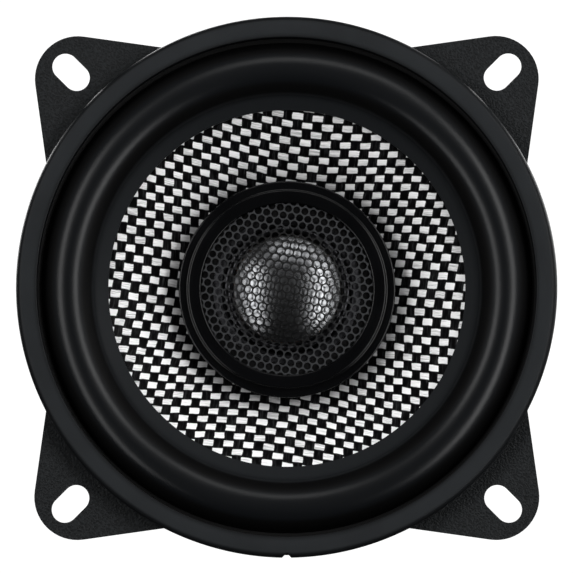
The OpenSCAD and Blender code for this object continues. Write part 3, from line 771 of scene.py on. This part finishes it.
def grille_rule(maker, size):
    """Hexagonal cells with round holes on a lattice, trimmed to a circle and raised."""
    cell, turn, across = polar_grid(maker, HOLE_SIDES, 2)
    angle = turn + math.pi / 6
    sector = turn - (turn * (3 / math.pi)).floor() * (math.pi / 3) - math.pi / 6
    corner = (size["pitch"] / 2) / sector.cos()
    out = size["hole"] + (corner - size["hole"]) * across
    cell = move(maker, cell, maker.join(out * angle.cos(), out * angle.sin(), 0.0))
    cell = weld(maker, cell, 0.001 * MM)

    count = 2 * math.ceil(grille_r / HOLE_PITCH) + 5
    row_step = size["pitch"] * (math.sqrt(3) / 2)
    spread = {"Size X": size["pitch"] * (count - 1), "Size Y": row_step * (count - 1),
              "Vertices X": count, "Vertices Y": count}
    lattice = maker.node("GeometryNodeMeshGrid", None, spread)[0]
    x, y, _ = maker.split(maker.node("GeometryNodeInputPosition")[0])
    odd = (y / row_step).round().maths("MODULO", 2.0).size()
    lattice = move(maker, lattice, maker.join(x + odd * (size["pitch"] / 2), y, 0.0))
    cells = maker.node("GeometryNodeInstanceOnPoints", None,
                       {"Points": lattice, "Instance": cell})[0]
    sheet = maker.node("GeometryNodeRealizeInstances", None, {0: cells})[0]
    sheet = weld(maker, sheet, 0.01 * MM)

    x, y, _ = maker.split(maker.node("GeometryNodeInputPosition")[0])
    far = (x * x + y * y).root() > size["edge"]
    sheet = maker.node("GeometryNodeDeleteGeometry", {"domain": "FACE"},
                       {0: sheet, "Selection": far})[0]
    out = (x * x + y * y).root()
    trim = (size["edge"] / out.highest(0.1 * MM)).lowest(1.0)
    x, y, out = x * trim, y * trim, out * trim
    bulge = (RAISED_BALL ** 2 - out * out).highest(0.0).root() - (RAISED_BALL - RAISED_H)
    height = bulge.maths("SMOOTH_MAX", GRILLE_WALL, RAISED_FOLD)
    turned_x = x * math.cos(LATTICE_TURN) - y * math.sin(LATTICE_TURN)
    turned_z = x * math.sin(LATTICE_TURN) + y * math.cos(LATTICE_TURN)
    return move(maker, sheet, maker.join(turned_x, grille_low - height, turned_z))


grille = grow("perforated_grille", grille_rule, finishes["grille_paint"], pitch=HOLE_PITCH,
              hole=HOLE_R, edge=grille_r - 0.05 * MM)
print("grille edge", round(grille_r / MM, 2), "mm")

# %% The grille's thickness
wall = grille.modifiers.new("steel", "SOLIDIFY")
wall.thickness = GRILLE_WALL * 0.6
wall.offset = -1
settle(grille)
stand_in(grille, "tweeter_grille")


# %% [markdown]
# ## Turned pieces
#
# The surround, the trim ring, the rims and the corrugated spider are all turned around the
# axis. `turned` spins a closed outline of distance and depth. `rounded_outline` first rounds
# its corners a little, so that edges catch light as moulded and pressed edges do.

# %% Spinning an outline
QUARTER = math.pi / 2


def rounded_outline(points, r, steps=4):
    """A closed outline with each corner replaced by a small arc-like curve."""
    points = [Vector(p) for p in points]
    outline = []
    for k, p in enumerate(points):
        before, after = points[k - 1], points[(k + 1) % len(points)]
        reach_a = min(r, (before - p).length * 0.45)
        reach_b = min(r, (after - p).length * 0.45)
        a = p + (before - p).normalized() * reach_a
        b = p + (after - p).normalized() * reach_b
        for step in range(steps + 1):
            t = step / steps
            outline.append(a * (1 - t) ** 2 + p * 2 * t * (1 - t) + b * t * t)
    return [tuple(p) for p in outline]


def arc(middle, centre, r, start, end, steps):
    """Points of an arc; its angles count from straight ahead, and outwards is positive."""
    turns = [start + (end - start) * k / steps for k in range(steps + 1)]
    return [(middle + r * math.sin(t), centre - r * math.cos(t)) for t in turns]


def turned(name, outline, material, around=256):
    """Spins a closed outline of (distance from the axis, depth) pairs around Y.

    The outline is walked the same way round every time, so that the faces point outwards.
    """
    outline = np.array(outline)
    r, y = outline.T
    if np.dot(r, np.roll(y, -1)) > np.dot(y, np.roll(r, -1)):
        outline = outline[::-1]
    n = len(outline)
    angle = math.tau * np.arange(around) / around
    x = np.outer(np.cos(angle), outline[:, 0])
    z = np.outer(np.sin(angle), outline[:, 0])
    y = np.tile(outline[:, 1], (around, 1))
    places = np.stack([x, y, z], axis=2).reshape(-1, 3)
    a, k = np.meshgrid(np.arange(around), np.arange(n), indexing="ij")
    b, m = (a + 1) % around, (k + 1) % n
    faces = np.stack([a * n + k, b * n + k, b * n + m, a * n + m], axis=2).reshape(-1, 4)
    mesh = bpy.data.meshes.new(name)
    mesh.from_pydata(places.tolist(), [], faces.tolist())
    mesh.materials.append(material)
    mesh.polygons.foreach_set("use_smooth", [True] * len(faces))
    mesh.set_sharp_from_angle(angle=math.radians(35))
    return add_object(name, mesh)


# %% [markdown]
# ## Rubber surround
#
# The surround joins the moving cone to the still flange: a flat outer lip, a half roll, and an
# inner lip glued on the cone. When the cone moves, the roll unrolls; here the piece is made in
# its resting shape.

# %% Standing in for a piece between two bodies
def bend(piece, node):
    """Hides a CAD node behind a piece that joins the frame to a moving body.
    """
    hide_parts(node)
    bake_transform(piece)


# %% Surround
ROLL_WALL = 0.6 * MM
GLUE = 0.1 * MM
LIP_LENGTH = 3.9 * MM
LIP_EDGE = 0.9 * MM

surround_r = radius("surround")
roll_mid, roll_half = (ROLL_OUT + ROLL_IN) / 2, (ROLL_OUT - ROLL_IN) / 2
roll_y = -1.1 * MM
roll_h = roll_y - front("surround") - ROLL_WALL
lip_in = cone_r - LIP_LENGTH * math.cos(lean)
ball = (roll_half ** 2 + roll_h ** 2) / (2 * roll_h)


def roll_arc(r):
    """Points of the half roll's arc of one radius, from the outside in."""
    reach = math.acos((ball - roll_h) / r)
    return arc(roll_mid, roll_y - roll_h + ball, r, reach, -reach, 24)


def on_cone(r):
    """The depth of the cone's front at a distance from the axis."""
    return cone_front + (cone_r - r) * slope


lip_lift = ROLL_WALL / math.cos(lean)
top_side = [(surround_r, roll_y), (surround_r, roll_y - ROLL_WALL)]
top_side += roll_arc(ball + ROLL_WALL)
lip = [lip_in + share * (cone_r - LIP_EDGE - lip_in) for share in (1, 0.66, 0.33, 0)]
top_side += [(r, on_cone(r) - GLUE - lip_lift) for r in lip]
under_side = [(r, on_cone(r) - GLUE) for r in lip[::-1]]
under_side += [(cone_r, cone_front - GLUE)] + roll_arc(ball)[::-1]
surround = turned("rubber_surround", top_side + under_side, finishes["surround_rubber"], 360)
bend(surround, "surround")


# %% [markdown]
# ## Trim ring and tweeter body
#
# The trim ring covers the surround's lip with a flat face, a rounded outer edge and a small
# index notch at its foot, which is pressed in by moving the few points beside it. The
# tweeter's rim, its skirt and its tapered housing are turned the same way, with the small
# radii that a mould leaves.

# %% Trim ring
SHEET = 1.0 * MM
NOTCH = 0.9 * MM
TRIM_ROUND, TRIM_CORNER = 1.1 * MM, 0.25 * MM

trim_front = front("trim_ring")
lip_front = roll_y - ROLL_WALL - GLUE
trim_outline = rounded_outline([
    (trim_in, trim_front), (flange_r, trim_front), (flange_r, -SHEET),
    (surround_r + GLUE, -SHEET), (surround_r + GLUE, lip_front), (trim_in, lip_front)],
    TRIM_CORNER)


def round_front_edge(outline, edge, r):
    """Replaces the front outer corner of an outline by a quarter circle."""
    corner = [k for k, (x, y) in enumerate(outline) if x > edge - r and y < trim_front + r]
    rounded = arc(edge - r, trim_front + r, r, 0, QUARTER, 8)
    return outline[:corner[0]] + rounded + outline[corner[-1] + 1:]


trim = turned("trim_ring_face", round_front_edge(trim_outline, flange_r, TRIM_ROUND),
              finishes["trim_plastic"], 720)


def press_notch(piece, depth):
    """Presses a V into the outer wall at the foot of the ring."""
    for v in piece.data.vertices:
        out = math.hypot(v.co.x, v.co.z)
        inset = depth - abs(v.co.x)
        if v.co.z < 0 and inset > 0 and out > flange_r - depth:
            keep = min(out, flange_r - inset) / out
            v.co.x, v.co.z = v.co.x * keep, v.co.z * keep


press_notch(trim, NOTCH)
stand_in(trim, "trim_ring")

# %% Tweeter rim and its skirt
RIM_R, SKIRT_H = 19.0 * MM, 0.9 * MM
SEAT_DEPTH = 1.9 * MM

tweeter_front = front("tweeter_rim")
shoulder = back("tweeter_rim")
skirt_r = radius("tweeter_rim")
rim_lip_r = grille_r - 0.4 * MM
grille_seat = front("tweeter_grille") + SEAT_DEPTH
rim_outline = rounded_outline([
    (rim_lip_r, tweeter_front), (RIM_R, tweeter_front), (RIM_R, shoulder - SKIRT_H),
    (skirt_r, shoulder - SKIRT_H), (skirt_r, shoulder), (grille_r + GLUE, shoulder),
    (grille_r + GLUE, grille_seat), (rim_lip_r, grille_seat)], 0.3 * MM)
rim = turned("tweeter_rim_ring", rim_outline, finishes["gloss_plastic"], 256)
stand_in(rim, "tweeter_rim")

# %% Tweeter housing
POST_BORE_R, FLOOR_R, BAND_R = 2.1 * MM, 13.4 * MM, 18.2 * MM
MOUTH_R, POCKET_R = 16.5 * MM, 12.2 * MM
BAND_H, MOUTH_DEPTH, FLOOR_WALL = 1.0 * MM, 1.9 * MM, 1.6 * MM

housing_back = back("tweeter_housing")
housing_outline = rounded_outline([
    (POST_BORE_R, housing_back), (FLOOR_R, housing_back), (BAND_R, shoulder + BAND_H),
    (BAND_R, shoulder), (MOUTH_R, shoulder), (MOUTH_R, shoulder + MOUTH_DEPTH),
    (POCKET_R, shoulder + MOUTH_DEPTH), (POCKET_R, housing_back - FLOOR_WALL),
    (POST_BORE_R, housing_back - FLOOR_WALL)], 0.35 * MM)
housing = turned("tweeter_cup", housing_outline, finishes["matt_plastic"], 256)
stand_in(housing, "tweeter_housing")

# %% [markdown]
# ## Sound dome and its edge
#
# The dome is pressed from thin aluminium foil. It is spun from an arc that ends on the axis, so
# its pole is one point; the outline's two ends meet there and are welded. Its edge is a tiny half
# roll, which joins the dome to the frame, as the large surround joins the cone to the flange.

# %% Dome
DOME_WALL = 0.3 * MM


def close_gaps(piece, distance=0.001 * MM):
    """Welds points that lie together and drops the faces that this leaves without area."""
    shape = bmesh.new()
    shape.from_mesh(piece.data)
    bmesh.ops.remove_doubles(shape, verts=shape.verts, dist=distance)
    bmesh.ops.dissolve_degenerate(shape, edges=shape.edges, dist=distance)
    shape.to_mesh(piece.data)
    shape.free()


dome_h = back("dome") - front("dome")
dome_ball = (dome_r ** 2 + dome_h ** 2) / (2 * dome_h)
dome_centre = front("dome") + dome_ball


def cap_arc(r):
    """An arc from the axis out to the dome's base."""
    return arc(0, dome_centre, r, 0, math.acos((dome_ball - dome_h) / r), 28)


dome = turned("foil_dome", cap_arc(dome_ball) + cap_arc(dome_ball - DOME_WALL)[::-1],
              finishes["dome_foil"], 128)
close_gaps(dome)
stand_in(dome, "dome", "dome")

# %% Dome edge
EDGE_WALL = 0.3 * MM
EDGE_SEAM = 0.2 * MM

edge_r = radius("dome_surround")
edge_back = back("dome_surround")
edge_roll = edge_back - front("dome_surround")
edge_mid = dome_r + EDGE_SEAM + edge_roll
edge_outline = [(edge_r, edge_back), (edge_r, edge_back - EDGE_WALL)]
edge_outline += arc(edge_mid, edge_back, edge_roll, QUARTER, -QUARTER, 14)
edge_outline += arc(edge_mid, edge_back, edge_roll - EDGE_WALL, -QUARTER, QUARTER, 14)
dome_edge = turned("dome_edge_roll", edge_outline, finishes["dome_edge"], 160)
bend(dome_edge, "dome_surround")

# %% [markdown]
# ## Spider
#
# Behind the cone a corrugated disc of resin-dipped cloth, called the spider, centres the coil.
# Its rings are a sine wave, it is glued to the basket at its edge and to the coil's former
# at its middle, and it stretches between the two as the cone moves.

# %% Spider cloth
THREADS = 5200.0


def spider_cloth(maker, place):
    x, _, z = maker.split(place)
    weave = ((x * THREADS).sin() * (z * THREADS).sin()) * 0.5 + 0.5
    fade = maker.noise(place, 120.0, 3.0)
    return {
        "Base Color": maker.mix(weave * 0.5 + fade * 0.5, (0.33, 0.2, 0.06), (0.62, 0.44, 0.19)),
        "Roughness": 0.72 - weave * 0.1,
        "Height": (weave, 0.6, 0.00012)}


finish("spider_cloth", spider_cloth)

# %% Corrugated spider
WAVES = 4
SPIDER_WALL = 0.5 * MM

spider_r = radius("spider")
spider_mid = (front("spider") + back("spider")) / 2
wave_h = (back("spider") - front("spider") - SPIDER_WALL) / 2
wave_start, wave_end = neck_r + 1.2 * MM, 24.5 * MM


def spider_side(offset, steps=64):
    """One side of the cloth, from the former out to the basket."""
    side = [(neck_r, spider_mid + offset)]
    for k in range(steps + 1):
        share = k / steps
        r = wave_start + (wave_end - wave_start) * share
        wave = wave_h * math.sin(math.tau * WAVES * share)
        side.append((r, spider_mid - wave + offset))
    return side + [(spider_r, spider_mid + offset)]


spider_outline = spider_side(-SPIDER_WALL / 2) + spider_side(SPIDER_WALL / 2)[::-1]
spider = turned("corrugated_spider", spider_outline, finishes["spider_cloth"], 192)
bend(spider, "spider")

# %% [markdown]
# ## Braided tinsel leads
#
# Two limp leads carry the signal from the terminals to the moving cone. Each is a braid of
# tinsel strands. The path is a smooth curve between the places that the CAD leads join, and
# Geometry Nodes wind six thin tubes round it, three each way.

# %% Tinsel leads
STRANDS = 6
STRAND_POINTS = 97
BRAID_TURNS = 9.0
BRAID_R = 0.36 * MM
STRAND_R = 0.2 * MM


def tinsel_rule(start, first, second, end):
    """A tree that winds strands round one cubic curve."""
    def rule(maker, size):
        line = maker.node("GeometryNodeMeshLine", None, {"Count": STRAND_POINTS})[0]
        index = maker.node("GeometryNodeInputIndex")[0]
        t = index / (STRAND_POINTS - 1.0)
        s = 1 - t
        weights = (s * s * s, s * s * t * 3, s * t * t * 3, t * t * t)
        slopes = (s * s * -3, s * s * 3 - s * t * 6, s * t * 6 - t * t * 3, t * t * 3)

        def blend(shares, axis):
            """One coordinate of the curve, from those of its four points."""
            total = 0.0
            for share, point in zip(shares, (start, first, second, end)):
                total = total + share * point[axis]
            return total

        place = [blend(weights, axis) for axis in range(3)]
        heading = [blend(slopes, axis) for axis in range(3)]
        length = (heading[0] ** 2 + heading[1] ** 2 + heading[2] ** 2).root()
        ahead = [h / length for h in heading]
        side = (end - start).cross(Vector((0, 1, 0))).normalized()
        up = [ahead[1] * side.z - ahead[2] * side.y, ahead[2] * side.x - ahead[0] * side.z,
              ahead[0] * side.y - ahead[1] * side.x]
        strands = []
        profile = maker.node("GeometryNodeCurvePrimitiveCircle", None,
                             {"Resolution": 6, "Radius": size["strand"]})[0]
        for k in range(STRANDS):
            sign = 1 if k % 2 else -1
            angle = t * (math.tau * BRAID_TURNS * sign) + math.tau * k / STRANDS
            beside, above = angle.cos() * size["braid"], angle.sin() * size["braid"]
            spot = maker.join(*(place[n] + beside * side[n] + above * up[n] for n in range(3)))
            wound = move(maker, line, spot)
            curve = maker.node("GeometryNodeMeshToCurve", None, {0: wound})[0]
            tube = maker.node("GeometryNodeCurveToMesh", None,
                              {"Curve": curve, "Profile Curve": profile, "Fill Caps": True})[0]
            strands.append(tube)
        return smooth(maker, maker.node("GeometryNodeJoinGeometry", None, {0: strands})[0])

    return rule


def tinsel_finish(maker, place):
    fleck = maker.noise(place, 2600.0, 2.0)
    return {"Base Color": maker.mix(fleck.rise(0.35, 0.65), (0.45, 0.22, 0.1), (0.8, 0.5, 0.28)),
            "Roughness": 0.45 - fleck * 0.15, "Height": (fleck, 0.4, 0.00003)}


finish("tinsel_braid", tinsel_finish, Metallic=1.0)

# %% The two leads
EYELET_R = 1.7 * MM
LEAD_R = 0.6 * MM
LEAD_APART = 3.0 * MM
COLLAR_HOLD = 1.0 * MM
RISE, END_RISE = 7.0 * MM, 9.8 * MM
FIRST_REACH = 0.35

eyelet_low, eyelet_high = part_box("terminal_eyelets")
eyelet_x = (eyelet_low.x + eyelet_high.x) / 2
eyelet_z = eyelet_high.z - EYELET_R
lead_start_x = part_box("tinsel_leads")[0].x + LEAD_R
for sign, side_name in ((1, "upper"), (-1, "lower")):
    start = Vector((lead_start_x, neck_y - COLLAR_HOLD, sign * LEAD_APART))
    end = Vector((eyelet_x, eyelet_low.y - GLUE, sign * eyelet_z))
    flat = Vector((end.x - start.x, 0, end.z - start.z))
    first = start + flat * FIRST_REACH - Vector((0, RISE, 0))
    second = end - Vector((0, END_RISE, 0))
    lead = grow("tinsel_lead_" + side_name, tinsel_rule(start, first, second, end),
                finishes["tinsel_braid"], braid=BRAID_R, strand=STRAND_R)
    bend(lead, "tinsel_leads")

# %% [markdown]
# ## Softened edges
#
# Machined solids have edges of no width, and real ones never do: stamped steel has a rolled
# edge, a magnet is ground, a nut is chamfered. `softened` copies a CAD node's mesh, welds its
# loose triangles, joins those that lie flat together, and bevels every sharp edge that is left.
# Weighted normals keep large faces flat to the eye. The pressed basket isn't in the table,
# because its many small faces crumple when they are bevelled.

# %% Soften the ground, turned and stamped pieces
SAME_POINT, SLIVER = 0.002 * MM, 0.003 * MM
FLAT, SHARP = math.radians(0.6), math.radians(28)


def softened(node, material, width, segments=2):
    """A copy of a CAD node with its sharp edges rounded, standing in for the node."""
    shape = bmesh.new()
    shape.from_mesh(nodes[node].data)
    bmesh.ops.remove_doubles(shape, verts=shape.verts, dist=SAME_POINT)
    bmesh.ops.dissolve_degenerate(shape, edges=shape.edges, dist=SAME_POINT)
    bmesh.ops.dissolve_limit(shape, angle_limit=FLAT, verts=shape.verts, edges=shape.edges)
    mesh = bpy.data.meshes.new(node + "_soft")
    shape.to_mesh(mesh)
    shape.free()
    piece = add_object(node + "_soft", mesh)
    mesh.materials.append(finishes[material])
    bevel = piece.modifiers.new("edges", "BEVEL")
    bevel.width = width
    bevel.segments = segments
    bevel.limit_method = "ANGLE"
    bevel.angle_limit = SHARP
    settle(piece)
    piece.data.polygons.foreach_set("use_smooth", [True] * len(piece.data.polygons))
    close_gaps(piece, SLIVER)
    weighted = piece.modifiers.new("shading", "WEIGHTED_NORMAL")
    weighted.weight = 100
    settle(piece)
    stand_in(piece, node)


# node, finish, how wide the softened edge is in mm, and its segments where not two
SOFT_EDGES = (
    ("yoke", "motor_steel", 0.2),
    ("front_plate", "motor_steel", 0.2),
    ("magnet", "ferrite", 0.3),
    ("post_nut", "plated_steel", 0.3),
    ("post_washer", "plated_steel", 0.15),
    ("terminal_board", "board_fibre", 0.15),
    ("positive_terminal", "gold_brass", 0.1),
    ("negative_terminal", "tinned_brass", 0.1),
    ("terminal_eyelets", "gold_brass", 0.12),
    ("terminal_rivets", "plated_steel", 0.2),
    ("basket_rivets", "plated_steel", 0.3),
    ("tweeter_screws", "plated_steel", 0.3),
    ("tweeter_post", "post_metal", 0.2),
    ("capacitor", "capacitor_sleeve", 0.7, 4))
for node, material, width, *segments in SOFT_EDGES:
    softened(node, material, width * MM, *segments)
print("softened", len(SOFT_EDGES), "CAD nodes")

# %% [markdown]
# ## Finishes for the CAD pieces that keep their shape
#
# The basket, the hidden parts of the motor and the wires keep the shape that the CAD model
# gives them. The table names the finish of each.

# %% Dress the remaining CAD nodes
DRESS = {
    "basket": "crinkle_paint", "former": "former_foil", "voice_coil": "copper_wire",
    "dome_carrier": "matt_plastic", "tweeter_coil": "copper_wire", "pole_cap": "motor_steel",
    "tweeter_magnet": "neodymium", "tweeter_yoke": "motor_steel",
    "capacitor_leads": "tinned_wire", "tweeter_leads": "lead_insulation"}
for node, name in DRESS.items():
    for place in nodes[node].material_slots:
        place.material = finishes[name]
print("dressed", len(DRESS), "CAD nodes")

# %% [markdown]
# ## Floor
#
# The speaker hangs by its flange, as in a panel, so the floor is well below it: a wide sheet
# as bright as the backdrop, so that no horizon shows. Reflections and bounced light pass it
# by, because its glow would wash out the black rubber.

# %% Floor
FLOOR_HALF = 3.0
FLOOR_DROP = 0.17
floor_mesh = bpy.data.meshes.new("floor")
corners = [(x * FLOOR_HALF, y * FLOOR_HALF, -FLOOR_DROP)
           for x, y in ((-1, -1), (1, -1), (1, 1), (-1, 1))]
floor_mesh.from_pydata(corners, [], [(0, 1, 2, 3)])
floor = add_object("floor", floor_mesh)
floor_mesh.materials.append(finish(
    "floor_paint", lambda maker, place: {}, Base_Color=(0.3, 0.3, 0.3), Roughness=0.8,
    Emission_Color=(1.0, 1.0, 1.0), Emission_Strength=1.1))
floor.visible_glossy = floor.visible_diffuse = False
